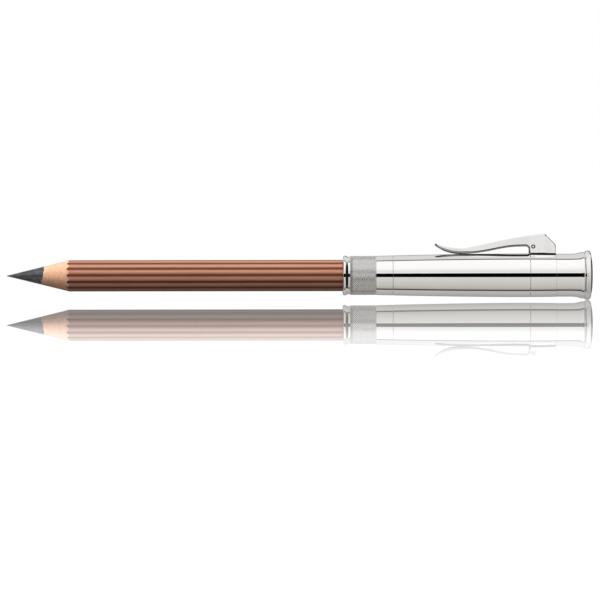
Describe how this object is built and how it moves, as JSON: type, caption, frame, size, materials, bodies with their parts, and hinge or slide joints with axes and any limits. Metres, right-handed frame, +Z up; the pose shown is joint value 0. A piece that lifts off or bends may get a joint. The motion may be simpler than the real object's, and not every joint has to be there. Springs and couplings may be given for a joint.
{
  "type": "pencil with extender cap",
  "caption": "Fluted cedar pencil gripped in a plated metal extender cap with a knurled mouth, a sprung pocket clip and a pull-out knob that carries a sharpener.",
  "frame": {"origin": "on the surface the pencil lies on, under the middle of its whole length", "axes": "+X along the pencil from its point to the knob, +Z up through the clip, -Y towards the viewer of the picture"},
  "size_m": [0.1756, 0.0148, 0.0199],
  "materials": {
    "plated_metal": "mirror bright plating over brass",
    "knurled_metal": "fine diamond knurl, plated",
    "core_brass": "drawn, bare",
    "collet_plastic": "moulded, black",
    "pin_steel": "ground",
    "spring_steel": "drawn wire",
    "keeper_steel": "turned",
    "seal_rubber": "matt black",
    "sharpener_plastic": "moulded, black",
    "blade_steel": "ground",
    "screw_steel": "turned",
    "graphite": "sharpened, dull metallic sheen",
    "lacquered_cedar": "brown lacquer over fluted cedar, bare cedar at the point",
    "ferrule_aluminium": "bright drawn",
    "eraser_rubber": "matt off-white"
  },
  "bodies": {
    "extender": {"mouth_ring": "plated_metal", "knurled_sleeve": "knurled_metal", "plain_band": "plated_metal", "barrel": "plated_metal", "clip_ring": "plated_metal", "core_tube": "core_brass", "grip_collet": "collet_plastic", "ring_keeper": "keeper_steel", "clip_pin": "pin_steel", "clip_spring": "spring_steel"},
    "clip": {"clip_lever": "plated_metal"},
    "pencil": {"graphite_lead": "graphite", "cedar_slat_upper": "lacquered_cedar", "cedar_slat_lower": "lacquered_cedar", "eraser_ferrule": "ferrule_aluminium", "eraser": "eraser_rubber"},
    "eraser_cap": {"eraser_cap": "plated_metal"},
    "knob": {"end_knob": "plated_metal", "end_disc": "plated_metal", "friction_ring": "seal_rubber", "sharpener_body": "sharpener_plastic", "sharpener_blade": "blade_steel", "blade_screw": "screw_steel"}
  },
  "joints": [
    {"name": "pencil_slide", "type": "slide", "parent": "extender", "child": "pencil", "axis": [-1, 0, 0], "range_m": [-0.003, 0.0275]},
    {"name": "eraser_cap_pull", "type": "slide", "parent": "pencil", "child": "eraser_cap", "axis": [1, 0, 0], "range_m": [0, 0.0095]},
    {"name": "knob_pull", "type": "slide", "parent": "extender", "child": "knob", "axis": [1, 0, 0], "range_m": [0, 0.03]},
    {"name": "clip_hinge", "type": "hinge", "parent": "extender", "child": "clip", "pos_m": [0.07011, 0, 0.01603], "axis": [0, 1, 0], "range_deg": [0, 4], "stiffness_Nm_per_rad": 0.12, "springref_deg": -8.59, "deforming": ["clip_spring"]}
  ]
}
